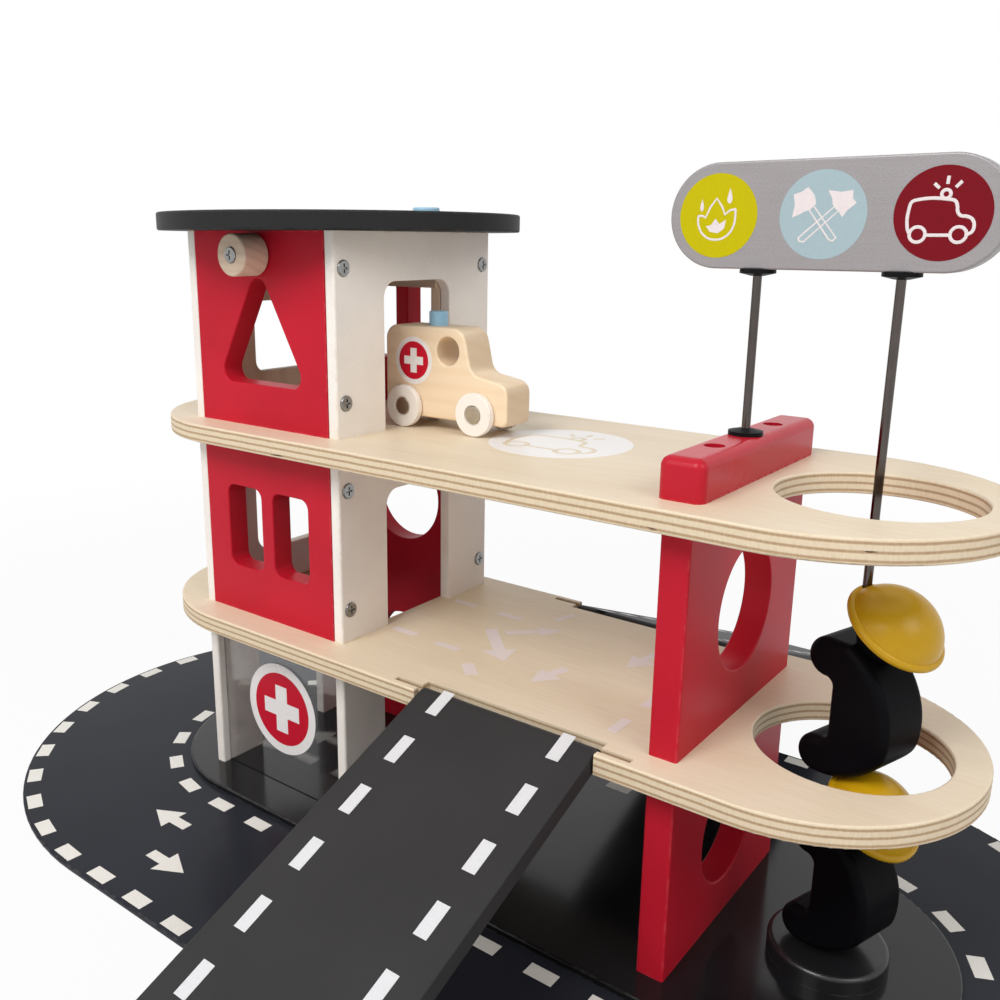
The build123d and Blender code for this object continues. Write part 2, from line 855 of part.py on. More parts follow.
def figure_body():
    seat = (back_reach(seat_height), seat_height)
    high = (back_reach(figure_height_body), figure_height_body)
    lap = (-throat_reach, 2 * leg_radius)
    front = Polyline((-leg_reach, 0), (-leg_reach, 2 * leg_radius), lap, (-throat_reach, figure_height_body), high)
    rear = ThreePointArc(high, (back_reach(back_centre_height), back_centre_height), seat)
    under = TangentArc((-leg_reach, 0), seat, tangent=(1, 0))
    trunk = make_face(Curve() + [front, rear, under])
    arm = Pos(-arm_reach, arm_height) * Circle(arm_radius)
    arm += Pos(-arm_reach / 2, arm_height) * Rectangle(arm_reach, 2 * arm_radius)
    outline = trunk + arm + Pos(-leg_reach, leg_radius) * Circle(leg_radius)
    bend = outline.vertices().sort_by_distance(Vector(*seat, 0))[0]
    outline = fillet(bend, seat_round)
    pit = outline.vertices().sort_by_distance(Vector(-throat_reach, arm_height - arm_radius, 0))[0]
    outline = fillet(pit, arm_pit_round)
    lap_corner = outline.vertices().sort_by_distance(Vector(*lap, 0))[0]
    outline = fillet(lap_corner, lap_round)
    body = along_y(outline, 0, -figure_half_width, figure_half_width, 0)
    body = fillet(body.edges().filter_by(Plane.XZ), figure_side_round)
    body -= head_seat() * Sphere(head_radius + head_seat_clearance)
    return body - figure_bore()


def figure_head():
    ball = Sphere(head_radius)
    ball -= Pos(0, 0, helmet_rim_rise + head_radius) * Box(4 * head_radius, 4 * head_radius, 2 * head_radius)
    return head_seat() * ball - figure_bore()


def figure_helmet():
    dome = Sphere(helmet_radius)
    dome -= Pos(0, 0, helmet_rim_rise - helmet_radius) * Box(4 * helmet_radius, 4 * helmet_radius, 2 * helmet_radius)
    brim = Pos(0, 0, helmet_rim_rise + brim_thickness / 2) * Cylinder(brim_radius, brim_thickness)
    brim = fillet(brim.edges(), brim_round)
    return head_seat() * (dome + brim) - figure_bore()


pieces = {
    "base_board": make_base_board(),
    "ground_plate": make_ground_plate(),
    "base_screws": make_base_screws(),
    "ground_left_panel": make_ground_panel(False),
    "ground_right_panel": make_ground_panel(True),
    "garage_pane": make_garage_pane(),
    "back_board": make_back_board(),
    "lower_support": make_support(floor_top, middle_bottom, ground_circle_height),
    "middle_deck": make_middle_deck(),
    "middle_left_panel": make_middle_panel(False),
    "middle_right_panel": make_middle_panel(True),
    "middle_front_panel": make_middle_front(),
    "upper_support": make_support(middle_top, upper_bottom, middle_circle_height),
    "upper_deck": make_upper_deck(),
    "upper_left_panel": make_upper_panel(False),
    "upper_right_panel": make_upper_panel(True),
    "upper_front_panel": make_upper_front(),
    "side_panel_screws": make_side_screws(),
    "roof_board": make_roof(),
    "roof_beacon": make_roof_beacon(),
    "rod_block": make_rod_block(),
    "block_screws": make_block_screws(),
    "sign_rod": make_sign_rod(),
    "pole": make_pole(),
    "pole_foot": make_pole_foot(),
    "rod_collars": make_collars(),
    "sign_board": make_sign(),
    "front_ramp": make_ramp(-1),
    "front_ramp_pin": make_ramp_pin(-1),
    "rear_ramp": make_ramp(1),
    "rear_ramp_pin": make_ramp_pin(1),
    "winch_shaft": make_winch_shaft(),
    "winch_knob": make_knob(),
    "knob_screw": make_knob_screw(),
    "lift_floor": make_car_floor(),
    "lift_left_wall": make_car_left_wall(),
    "lift_front_post": make_car_post(True),
    "lift_rear_post": make_car_post(False),
    "lift_top_frame": make_car_frame(),
    "ambulance_body": make_van(),
    "ambulance_beacon": make_van_beacon(),
    "rear_wheels": make_wheels(rear_axle_back),
    "rear_axle": make_axle(rear_axle_back),
    "front_wheels": make_wheels(front_axle_back),
    "front_axle": make_axle(front_axle_back),
}

figure_pieces = {"body": figure_body(), "head": figure_head(), "helmet": figure_helmet()}
for figure, bottom in (("lower_firefighter", lower_figure_bottom()), ("upper_firefighter", upper_figure_bottom())):
    for piece, shape in figure_pieces.items():
        pieces[figure + "_" + piece] = figure_place(bottom) * shape

for node, shape in pieces.items():
    export_step(shape, "parts/" + node + ".step")
    size = shape.bounding_box().size
    print(node, round(size.X, 2), round(size.Y, 2), round(size.Z, 2), "volume", round(shape.volume, 1))
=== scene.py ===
import math

import bmesh
import bpy
from mathutils import Matrix, Vector


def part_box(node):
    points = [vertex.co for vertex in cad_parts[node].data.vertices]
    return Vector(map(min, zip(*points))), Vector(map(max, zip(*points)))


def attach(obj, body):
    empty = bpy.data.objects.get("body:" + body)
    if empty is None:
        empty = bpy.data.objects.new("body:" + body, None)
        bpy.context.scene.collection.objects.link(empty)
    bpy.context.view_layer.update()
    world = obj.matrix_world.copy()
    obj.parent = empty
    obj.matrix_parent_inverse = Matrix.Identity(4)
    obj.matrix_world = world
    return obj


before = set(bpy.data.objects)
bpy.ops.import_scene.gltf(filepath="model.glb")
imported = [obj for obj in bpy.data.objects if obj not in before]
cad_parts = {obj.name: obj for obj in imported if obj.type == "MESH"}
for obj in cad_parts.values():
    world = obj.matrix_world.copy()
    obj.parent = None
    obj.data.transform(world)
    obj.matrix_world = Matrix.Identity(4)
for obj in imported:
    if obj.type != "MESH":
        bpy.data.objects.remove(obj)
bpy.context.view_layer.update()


# The base board: 3 mm fibreboard with half-round ends, sprayed slate grey and lacquered.
# The road round it is screen printed in white: two rings of dashes with arrows between them.
class Socket:
    """One value on its way through a finish; sums on it add Math nodes."""

    def __init__(self, plug):
        self.plug = plug

    def node(self, kind, settings, sockets, out=0):
        made = self.plug.id_data.nodes.new("ShaderNode" + kind)
        for name, value in settings.items():
            setattr(made, name, value)
        for name, value in sockets.items():
            if isinstance(value, Socket):
                self.plug.id_data.links.new(value.plug, made.inputs[name])
            else:
                made.inputs[name].default_value = value
        return Socket(made.outputs[out])

    def maths(self, operation, *values):
        return self.node("Math", {"operation": operation}, dict(enumerate(values)))

    def __add__(self, other):
        return self.maths("ADD", self, other)

    def __sub__(self, other):
        return self.maths("SUBTRACT", self, other)

    def __rsub__(self, other):
        return self.maths("SUBTRACT", other, self)

    def __mul__(self, other):
        return self.maths("MULTIPLY", self, other)

    def __abs__(self):
        return self.maths("ABSOLUTE", self)

    def __mod__(self, other):
        return self.maths("FLOORED_MODULO", self, other)

    __radd__ = __add__
    __rmul__ = __mul__

    def smooth(self, start, end):
        sockets = {"Value": self, "From Min": start, "From Max": end}
        return self.node("MapRange", {"interpolation_type": "SMOOTHSTEP"}, sockets)

    def mix(self, first, second):
        return self.node("Mix", {"data_type": "RGBA"}, {0: self, 6: first, 7: second}, out=2)

    def axes(self):
        return [Socket(plug) for plug in self.node("SeparateXYZ", {}, {0: self}).plug.node.outputs]

    def stretch(self, x, y, z):
        return self.node("VectorMath", {"operation": "MULTIPLY"}, {0: self, 1: (x, y, z)})

    def specks(self, size, detail=2.0):
        return self.node("TexNoise", {}, {"Vector": self, "Scale": 1 / size, "Detail": detail})

    def feed(self, shader, name):
        self.plug.id_data.links.new(self.plug, shader.inputs[name])

    def emboss(self, shader, depth, strength=1.0):
        bump = self.node("Bump", {}, {"Height": self, "Distance": depth, "Strength": strength})
        bump.feed(shader, "Normal")


def tint(red, green, blue):
    """A paint as a colour card gives it, turned into the shader's linear values."""
    linear = []
    for share in (red / 255, green / 255, blue / 255):
        bright = (share + 0.055) ** 2.4 / 1.055**2.4
        linear.append(bright if share > 0.04 else share / 12.92)
    return (*linear, 1.0)


def shade(colour, factor):
    """The same paint a little lighter or darker."""
    return (*[min(1.0, share * factor) for share in colour[:3]], 1.0)


def start_finish(name, roughness, coat=0.0, metallic=0.0, gloss=0.5):
    material = bpy.data.materials.new(name)
    material.use_nodes = True
    shader = material.node_tree.nodes["Principled BSDF"]
    shader.inputs["Roughness"].default_value = roughness
    shader.inputs["Metallic"].default_value = metallic
    shader.inputs["Coat Weight"].default_value = coat
    shader.inputs["Coat Roughness"].default_value = 0.12
    shader.inputs["Specular IOR Level"].default_value = gloss
    place = material.node_tree.nodes.new("ShaderNodeTexCoord")
    return material, shader, Socket(place.outputs["Object"])


def give(node, material):
    """Puts a finish on a piece that keeps the shape it came with."""
    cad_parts[node].data.materials.clear()
    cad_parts[node].data.materials.append(material)


def square_edges(place, low, high, width):
    """1 along the edges of a square-cut board between two corners, 0 further in than the width."""
    depths = []
    for axis, start, end in zip(place.axes(), low, high):
        depths.append((end - start) / 2 - abs(axis - (start + end) / 2))
    long_way, short_way, thick_way = depths
    near = place.maths("MINIMUM", long_way, short_way)
    far = place.maths("MAXIMUM", long_way, short_way)
    second_nearest = place.maths("MAXIMUM", near, place.maths("MINIMUM", far, thick_way))
    return 1 - second_nearest.smooth(0.0, width)


def round_edges(place, low, high, width):
    """The same for a board with half-round ends, or for a disc."""
    x, y, z = place.axes()
    radius = (high[1] - low[1]) / 2
    run = abs(x - (low[0] + high[0]) / 2) - ((high[0] - low[0]) / 2 - radius)
    run = place.maths("MAXIMUM", run, 0.0)
    across = y - (low[1] + high[1]) / 2
    reach = place.maths("SQRT", run * run + across * across)
    rim = radius - reach
    depth = (high[2] - low[2]) / 2 - abs(z - (low[2] + high[2]) / 2)
    return 1 - place.maths("MAXIMUM", rim, depth).smooth(0.0, width)


def spray(node, colour, edge_wear_and_highlight, roughness, coat=0.0, edges=square_edges, peel=0.5, gloss=0.35):
    """Sprayed paint: a little cloudy, with fine orange peel, and worn thin in chips along the
    edges. Where the edge colour is paler than the paint, the chips are also a painted highlight on
    the edges.
    """
    material, shader, place = start_finish(node + "_paint", roughness, coat, gloss=gloss)
    cloud = place.specks(size=0.045, detail=3.0)
    fine = place.specks(size=0.0011, detail=3.0)
    coarse = place.specks(size=0.0035, detail=2.0)
    chips = place.specks(size=0.004, detail=4.0).smooth(0.42, 0.66)
    # Chips along the edges: worn paint, and where the edge colour is paler, a painted highlight on
    # the rounded edges.
    edge_wear_and_highlight_mask = edges(place, *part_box(node), width=0.0011) * chips
    pale, deep = shade(colour, 1.06), shade(colour, 0.93)
    coloured = (cloud * 0.75 + fine * 0.25).smooth(0.3, 0.7).mix(deep, pale)
    (edge_wear_and_highlight_mask * 0.55).mix(coloured, edge_wear_and_highlight).feed(shader, "Base Color")
    (roughness + (cloud - 0.5) * 0.12 + edge_wear_and_highlight_mask * 0.15).feed(shader, "Roughness")
    (fine * 0.6 + coarse).emboss(shader, depth=0.00006, strength=peel)
    give(node, material)


# The paler edge colour is edge wear and a painted highlight on the rounded edges.
slate_grey, slate_edge_wear_and_highlight = tint(41, 43, 50), tint(96, 92, 88)
spray(
    "base_board", slate_grey, slate_edge_wear_and_highlight,
    roughness=0.22, coat=0.05, edges=round_edges, peel=0.4, gloss=0.06,
)

film_thickness = 0.00006
dash_length, dash_width = 0.0135, 0.0072
arrow_length, arrow_width = 0.026, 0.0157


def dash(x, y, turn, length=dash_length, width=dash_width):
    along = Vector((math.cos(turn), math.sin(turn))) * length / 2
    across = Vector((-math.sin(turn), math.cos(turn))) * width / 2
    middle = Vector((x, y))
    tail, tip = middle - along, middle + along
    return [tail - across, tip - across, tip + across, tail + across]


def arrow(x, y, turn, length=arrow_length, width=arrow_width, head=0.575, shaft=0.36):
    """A plain road arrow; x and y are its point, head and shaft shares of its length and width."""
    above = [(0, 0), (-head, 1.0), (-head, shaft), (-1, shaft)]
    below = [(-1, -shaft), (-head, -shaft), (-head, -1.0)]
    spin = Matrix.Rotation(turn, 2)
    corners = [Vector((reach * length, side * width / 2)) for reach, side in above + below]
    return [Vector((x, y)) + spin @ corner for corner in corners]


def disc(x, y, radius, corners=96):
    """A round outline; 96 corners look smooth at any size on the toy."""
    turns = [k * math.tau / corners for k in range(corners)]
    return [(x + radius * math.cos(turn), y + radius * math.sin(turn)) for turn in turns]


def ink(name, colour, roughness=0.4):
    """Screen ink: matt, a little thin in places, with tiny pinholes."""
    material, shader, place = start_finish(name, roughness, gloss=0.15)
    thin = place.specks(size=0.0012, detail=4.0).smooth(0.45, 0.85)
    thin.mix(shade(colour, 1.02), shade(colour, 0.94)).feed(shader, "Base Color")
    (roughness + (thin - 0.5) * 0.15).feed(shader, "Roughness")
    place.specks(size=0.0008, detail=3.0).emboss(shader, depth=0.00003, strength=0.4)
    return material


def printed(name, outlines, place, finish, body, layer=0):
    """Lays flat outlines as a film of ink on a board; later layers lie on earlier ones."""
    film = bmesh.new()
    for outline in outlines:
        film.faces.new([film.verts.new((x, y, 0)) for x, y in outline])
    raised = bmesh.ops.extrude_face_region(film, geom=film.faces[:])["geom"]
    upper = [part for part in raised if isinstance(part, bmesh.types.BMVert)]
    bmesh.ops.translate(film, vec=(0, 0, film_thickness), verts=upper)
    bmesh.ops.recalc_face_normals(film, faces=film.faces[:])
    film.transform(place @ Matrix.Translation((0, 0, film_thickness * layer)))
    mesh = bpy.data.meshes.new(name)
    film.to_mesh(mesh)
    film.free()
    mesh.materials.append(finish)
    piece = bpy.data.objects.new(name, mesh)
    bpy.context.scene.collection.objects.link(piece)
    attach(piece, body)
    return piece


def bend_dash(centre, radius, turn):
    """A dash that follows the half-round end of a road."""
    x, y = centre + radius * math.cos(turn), radius * math.sin(turn)
    return dash(x, y, turn + math.pi / 2)


def road_ring(left, right, radius, count, start):
    """Dashes at even steps round a road with half-round ends, from a place on its left end."""
    bend = math.pi * radius
    straight = right - left
    lap = 2 * bend + 2 * straight
    marks = []
    for k in range(count):
        run = (start + k * lap / count) % lap
        if run < bend:
            marks.append(bend_dash(left, radius, math.pi / 2 + run / radius))
        elif run < bend + straight:
            marks.append(dash(left + run - bend, -radius, 0))
        elif run < 2 * bend + straight:
            marks.append(bend_dash(right, radius, -math.pi / 2 + (run - bend - straight) / radius))
        else:
            marks.append(dash(right - (run - 2 * bend - straight), radius, 0))
    return marks


on_base = Matrix.Translation((0, 0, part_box("base_board")[1].z))
road_white = ink("road_white_ink", tint(232, 229, 222))
road = road_ring(left=-0.136, right=0.136, radius=0.1545, count=53, start=0.2184)
road += road_ring(left=-0.133, right=0.1495, radius=0.0805, count=37, start=0.0044)
road += [arrow(-0.1438, -0.1048, math.pi), arrow(-0.088, -0.1294, 0)]
road += [arrow(0.06, -0.1175, math.pi), arrow(0.03, 0.1175, 0)]
printed("road_markings", road, on_base, road_white, "station")


# The plate under the house: 3 mm board, gloss black, glued on the base inside the road.
# One white dash is printed on it at the foot of the ramp.
# The paler edge colour of the black is edge wear and a painted highlight on the rounded edges.
plate_black, black_edge_wear_and_highlight = tint(24, 24, 26), tint(70, 66, 62)
spray(
    "ground_plate", plate_black, black_edge_wear_and_highlight,
    roughness=0.16, coat=0.25, edges=round_edges, peel=0.3, gloss=0.2,
)
on_plate = Matrix.Translation((0, 0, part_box("ground_plate")[1].z))
plate_dash = [dash(0.038, 0.062, 0)]
printed("plate_marking", plate_dash, on_plate, road_white, "station")


# The two decks: 9 mm birch plywood under clear lacquer. The faces show pale veneer with a
# long straight grain, and every sawn edge shows the plies. Pale road marks are printed on them.
def birch_ply(node, plies=6):
    material, shader, place = start_finish(node + "_birch", roughness=0.42, gloss=0.35)
    low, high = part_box(node)
    fibre = place.stretch(0.05, 1, 0.05).specks(size=0.0011, detail=5.0)
    flame = place.stretch(0.22, 1, 1).specks(size=0.03, detail=3.0)
    figure = (fibre * 0.5 + flame * 0.5).smooth(0.3, 0.75)
    veneer = figure.mix(tint(231, 215, 190), tint(222, 203, 174))
    z = place.axes()[2]
    wander = place.stretch(1, 1, 0.2).specks(size=0.014, detail=3.0) - 0.5
    level = (z - low.z) * (plies / (high.z - low.z)) + wander * 0.3
    glue_line = 1 - abs(level % 2.0 - 1.0).smooth(0.16, 0.5)
    end_grain = place.stretch(1, 1, 0.3).specks(size=0.0007, detail=3.0)
    pale_ply = end_grain.mix(tint(232, 216, 190), tint(212, 190, 158))
    brown_ply = end_grain.mix(tint(196, 168, 132), tint(158, 128, 96))
    hollows = place.stretch(0.35, 0.35, 2.6).specks(size=0.0042, detail=1.0)
    void = hollows.smooth(0.74, 0.8) * glue_line
    sawn = void.mix(glue_line.mix(pale_ply, brown_ply), tint(62, 46, 34))
    half = (high.z - low.z) / 2
    on_edge = 1 - abs(z - (low.z + half)).smooth(half - 0.0005, half - 0.0003)
    on_edge.mix(veneer, sawn).feed(shader, "Base Color")
    (0.38 + figure * 0.12 + on_edge * 0.18).feed(shader, "Roughness")
    saw_marks = end_grain * 0.6 - glue_line * 0.5 - void * 2.0
    (fibre * 0.5 + on_edge * saw_marks).emboss(shader, depth=0.00008, strength=0.5)
    give(node, material)


birch_ply("middle_deck")
birch_ply("upper_deck")
on_middle = Matrix.Translation((0, 0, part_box("middle_deck")[1].z))
deck_white = ink("deck_pale_ink", tint(228, 215, 212))
marks = []
for x, y in ((-0.0423, 0.0284), (-0.0125, 0.0278), (-0.0417, -0.0222), (-0.0136, -0.0238)):
    marks.append(dash(x, y, 0, length=0.0145, width=0.0042))
marks.append(dash(0.0109, 0.0438, math.radians(75), length=0.0135, width=0.004))
marks.append(dash(0.0112, -0.0382, math.radians(-43), length=0.0125, width=0.0058))
for y in (-0.0436, -0.0155, 0.0126, 0.0407):
    marks.append(dash(0.092, y, math.pi / 2, length=0.0137, width=0.0042))
for x, y, degrees, length, width, head in (
    (0.0183, -0.0211, -45, 0.04, 0.0167, 0.33),
    (0.0195, 0.0275, 44, 0.0285, 0.012, 0.4),
    (0.0405, -0.032, -103, 0.0225, 0.0135, 0.575),
    (0.0665, 0.0079, -100, 0.0235, 0.0135, 0.575),
):
    marks.append(arrow(x, y, math.radians(degrees), length, width, head))
deck_print = printed("middle_deck_markings", marks, on_middle, deck_white, "station")


# Ground storey of the house: two white side boards with doorways, and a clear 2 mm pane
# held in grooves of the boards. The pane carries a white disc with a first-aid sign.
white_lacquer, bare_edge = tint(242, 235, 227), tint(214, 194, 164)
for panel in ("ground_left_panel", "ground_right_panel"):
    spray(panel, white_lacquer, bare_edge, roughness=0.42)

material, shader, place = start_finish("clear_acrylic", roughness=0.03)
shader.inputs["Transmission Weight"].default_value = 1.0
shader.inputs["IOR"].default_value = 1.49
smear = place.specks(size=0.012, detail=4.0).smooth(0.45, 0.8)
smear.mix(tint(250, 251, 251), tint(238, 240, 241)).feed(shader, "Base Color")
(0.02 + smear * 0.06).feed(shader, "Roughness")
ripple = place.stretch(1, 1, 0.2).specks(size=0.02, detail=2.0)
ripple.emboss(shader, depth=0.00005, strength=0.2)
give("garage_pane", material)

emblem_white = ink("emblem_white_ink", tint(236, 231, 229))
emblem_red = ink("emblem_red_ink", tint(196, 22, 46))


def cross(reach, arm):
    half = arm / 2
    corner = [(reach, -half), (reach, half), (half, half)]
    turns = [Matrix.Rotation(k * math.pi / 2, 2) for k in range(4)]
    return [turn @ Vector(point) for turn in turns for point in corner]


def first_aid_sign(name, x, height, front, radius, body):
    """White disc, red disc on it and a white cross on that, on a face that looks forwards."""
    place = Matrix.Translation((x, front, height)) @ Matrix.Rotation(math.pi / 2, 4, "X")
    bars = cross(reach=radius * 0.52, arm=radius * 0.34)
    layers = (
        ("_disc", disc(0, 0, radius), emblem_white, "white_wood"),
        ("_field", disc(0, 0, radius * 0.8), emblem_red, "red_wood"),
        ("_cross", bars, emblem_white, "white_wood"),
    )
    for layer, (part, outline, finish, slot) in enumerate(layers):
        printed(name + part, [outline], place, finish, body, layer)


pane_low, pane_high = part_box("garage_pane")
pane_middle = (pane_low.x + pane_high.x) / 2
first_aid_sign(
    "pane_sign", body="station",
    x=pane_middle, height=0.051, front=pane_low.y, radius=0.0255,
)


# The tall red board at the back of the house, the two red supports under the decks
# and the red front boards of the house: 12 mm boards, sprayed with satin red.
# The pinker edge colour is edge wear and a painted highlight on the rounded edges.
signal_red, red_edge_wear_and_highlight = tint(189, 26, 45), tint(208, 80, 84)
for board in (
    "back_board",
    "lower_support",
    "upper_support",
    "middle_front_panel",
    "upper_front_panel",
):
    spray(board, signal_red, red_edge_wear_and_highlight, roughness=0.4, gloss=0.14)


# Middle and upper storeys: 6 mm side boards, sprayed warm white. Their doorways
# and windows are routed, and the edges of the paint are slightly thin.
for panel in ("middle_left_panel", "middle_right_panel", "upper_left_panel", "upper_right_panel"):
    spray(panel, white_lacquer, bare_edge, roughness=0.42)


# Zinc-plated pan head screws hold the side boards, the block for the rods and the base;
# one more holds the knob of the winch. The rods and the hinge pins are drawn steel.
def steel(node, bright, roughness, grain=(1, 1, 1)):
    """Bare steel; grain is less than 1 along the way in which it was drawn."""
    material, shader, place = start_finish(node + "_steel", roughness, metallic=1.0)
    drawn = place.stretch(*grain).specks(size=0.0006, detail=4.0)
    cloud = place.specks(size=0.006, detail=3.0)
    polish = (drawn * 0.6 + cloud * 0.4).smooth(0.3, 0.75)
    polish.mix(bright, shade(bright, 0.72)).feed(shader, "Base Color")
    (roughness + (drawn - 0.5) * 0.16 + (cloud - 0.5) * 0.1).feed(shader, "Roughness")
    drawn.emboss(shader, depth=0.00002, strength=0.4)
    give(node, material)


for screws in ("side_panel_screws", "block_screws", "base_screws", "knob_screw"):
    steel(screws, tint(150, 150, 149), roughness=0.15)


# The roof: an 8.5 mm board cut to a disc, sprayed dark grey and glued on the house.
# The beacon on it is a short wooden disc, sprayed light blue.
# The paler edge colours of the roof and the beacons are edge wear and a painted highlight on the
# rounded edges.
roof_grey, roof_edge_wear_and_highlight = tint(43, 43, 44), tint(86, 84, 82)
spray("roof_board", roof_grey, roof_edge_wear_and_highlight, roughness=0.5, edges=round_edges, gloss=0.08)
beacon_blue, beacon_edge_wear_and_highlight = tint(150, 194, 220), tint(214, 222, 222)
spray("roof_beacon", beacon_blue, beacon_edge_wear_and_highlight, roughness=0.3, coat=0.2, edges=round_edges)


# The rod block: red hardwood with rounded edges, held by two long screws sunk in its top.
# Two steel rods stand in it and beside it, each with a flat black cap under the sign,
# and the long one has a black foot on the plate.
spray("rod_block", signal_red, red_edge_wear_and_highlight, roughness=0.28, gloss=0.2)
for rod in ("sign_rod", "pole"):
    steel(rod, tint(96, 89, 85), roughness=0.14, grain=(1, 1, 0.02))
spray("rod_collars", tint(22, 22, 24), tint(40, 40, 42), roughness=0.4, peel=0.3, gloss=0.05)
spray("pole_foot", tint(26, 26, 28), black_edge_wear_and_highlight, roughness=0.3, coat=0.2, edges=round_edges)


# The sign: a 10 mm board with half-round ends in silver paint. Three round pictures are
# printed on its face in white line: a fire, two crossed axes and a rescue van.
material, shader, place = start_finish("sign_silver", roughness=0.42, metallic=0.25)
flake = place.specks(size=0.0005, detail=2.0)
brushed = place.stretch(0.06, 1, 1).specks(size=0.0012, detail=4.0)
cloud = place.specks(size=0.03, detail=3.0)
silver = (flake * 0.7 + brushed * 0.2 + cloud * 0.1).smooth(0.3, 0.72)
silver.mix(tint(158, 153, 154), tint(142, 137, 138)).feed(shader, "Base Color")
(0.34 + flake * 0.22).feed(shader, "Roughness")
(flake * 0.8 + brushed * 0.2).emboss(shader, depth=0.00005, strength=0.45)
give("sign_board", material)

picture_height, picture_radius = 0.3032, 0.0155
fire_x, axes_x, van_x, van_line_x = 0.1026, 0.1421, 0.1818, 0.1815
sign_front = Matrix.Translation((0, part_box("sign_board")[0].y, picture_height))
sign_face = sign_front @ Matrix.Rotation(math.pi / 2, 4, "X")
for name, x, colour, slot in (
    ("fire", fire_x, tint(190, 178, 0), "yellow_wood"),
    ("axes", axes_x, tint(160, 180, 186), "blue_wood"),
    ("van", van_x, tint(116, 8, 24), "red_wood"),
):
    field = [disc(x, 0, picture_radius)]
    finish = ink(name + "_disc_ink", colour, roughness=0.35)
    printed(name + "_picture_disc", field, sign_face, finish, "station")

line_depth = 0.00005


def drawn_line(name, paths, width, place, finish):
    """A line drawn with a round pen on a disc: points, whether they close, whether they bend."""
    pen = bpy.data.curves.new(name, "CURVE")
    pen.dimensions = "3D"
    pen.bevel_depth = width / 2
    pen.bevel_resolution = 2
    pen.use_fill_caps = True
    for points, closed, rounded in paths:
        spline = pen.splines.new("BEZIER")
        spline.bezier_points.add(len(points) - 1)
        for knot, (x, y) in zip(spline.bezier_points, points):
            knot.co = (x, y, 0)
            knot.handle_left_type = knot.handle_right_type = "AUTO" if rounded else "VECTOR"
        spline.use_cyclic_u = closed
        spline.resolution_u = 8
    line = bpy.data.objects.new(name, pen)
    mesh = bpy.data.meshes.new_from_object(line)
    bpy.data.objects.remove(line)
    mesh.name = name
    flat = Matrix.Diagonal((1, 1, line_depth / width, 1))
    mesh.transform(place @ Matrix.Translation((0, 0, film_thickness)) @ flat)
    mesh.materials.clear()
    mesh.materials.append(finish)
    piece = bpy.data.objects.new(name, mesh)
    bpy.context.scene.collection.objects.link(piece)
    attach(piece, "station")
    return piece


def drop(x, y, height, width):
    """A drop shape with its point upwards."""
    points = []
    for k in range(24):
        turn = k * math.tau / 24
        side = math.sin(turn) * math.sin(turn / 2) ** 1.4
        points.append((x + width / 2 * side, y + height / 2 * math.cos(turn)))
    return points


def enlarged(points, x, y=0.0, scale=1.0):
    """Points of a drawing in millimetres, brought to their place on the board."""
    return [(x + px * scale / 1000, y + py * scale / 1000) for px, py in points]


def traced(paths, *spot):
    return [(enlarged(points, *spot), closed, rounded) for points, closed, rounded in paths]


fire_bowl = [(-8, 0), (-7.6, -3.6), (-5, -7.4), (-0.8, -8.8), (3.6, -7.6), (6.4, -4), (7, 2.4)]
fire_tongues = [
    (7, 2.4), (4.8, 2), (2.8, 0.4), (1.7, 3), (-0.8, 6.4),
    (-3.2, 3.2), (-4.9, -0.6), (-6.2, 0), (-8, 0),
]
fire = [(fire_bowl, False, True), (fire_tongues, False, False)]
axes = [
    ([(-5, 1.9), (-3.4, 3.1), (5.5, -7.9), (4.3, -9.1), (3, -8.6)], True, False),
    ([(5.5, 1.3), (4, 2.7), (-8, -8), (-7.6, -9.2), (-6, -9.4)], True, False),
]
van_body = [
    (-9.6, -6.4), (-10.3, -4.6), (-10.3, 2), (-9.7, 3.8), (-8, 4.5),
    (2, 4.5), (3.9, 3.9), (4.6, 2.4), (5, 0.4), (6, -0.7),
    (8, -1), (9.7, -2), (10.4, -4), (10, -5.8), (8.6, -6.8),
]
van = [
    (van_body, False, True),
    ([(-4.2, -7), (3.3, -7)], False, False),
    (disc(0.8, 6.2, 1.4, corners=8), True, True),
    ([(-3.2, 9.7), (-1.5, 8.1)], False, False),
    ([(1, 12), (0.9, 9.4)], False, False),
    ([(5.3, 10.2), (3.5, 8.3)], False, False),
    (disc(-6.9, -6.8, 2.5, corners=8), True, True),
    (disc(5.9, -6.8, 2.5, corners=8), True, True),
]
hearth = [
    (-4.6, -3.8), (-2.6, -3.4), (-0.8, -1), (0.9, -3),
    (3.4, -1.4), (2.9, -4.6), (0.4, -6.4), (-2.8, -5.9),
]
left_head = [
    (-10.9, -0.9), (-8.6, 0), (-6.4, 1.2), (-4.6, 1.7), (-2.5, 3.8),
    (-3.3, 6.8), (-5.8, 9.7), (-8, 8.1), (-10.9, 7.2), (-10.2, 3.6),
]
right_head = [
    (1.4, 8.4), (3, 5.4), (3.3, 3.4), (5.4, 1.3), (7, -0.9),
    (8.8, 1.6), (11.6, 3.9), (10.2, 5.4), (10, 8.3), (6, 7.7),
]
flames = [hearth, drop(-6.6, 4, height=4.6, width=2), drop(4.4, 7.2, height=5.6, width=2.8)]

line_white = ink("picture_white_ink", tint(224, 214, 214))
for name, outlines, x in (
    ("flames", flames, fire_x),
    ("axe_heads", [left_head, right_head], axes_x),
):
    filled = [enlarged(outline, x) for outline in outlines]
    printed(name + "_picture", filled, sign_face, line_white, "station", 1)
for name, paths, x, width in (
    ("fire", fire, fire_x, 0.00085),
    ("axes", axes, axes_x, 0.0007),
    ("van", van, van_line_x, 0.00115),
):
    line = drawn_line(name + "_picture_line", traced(paths, x), width, sign_face, line_white)


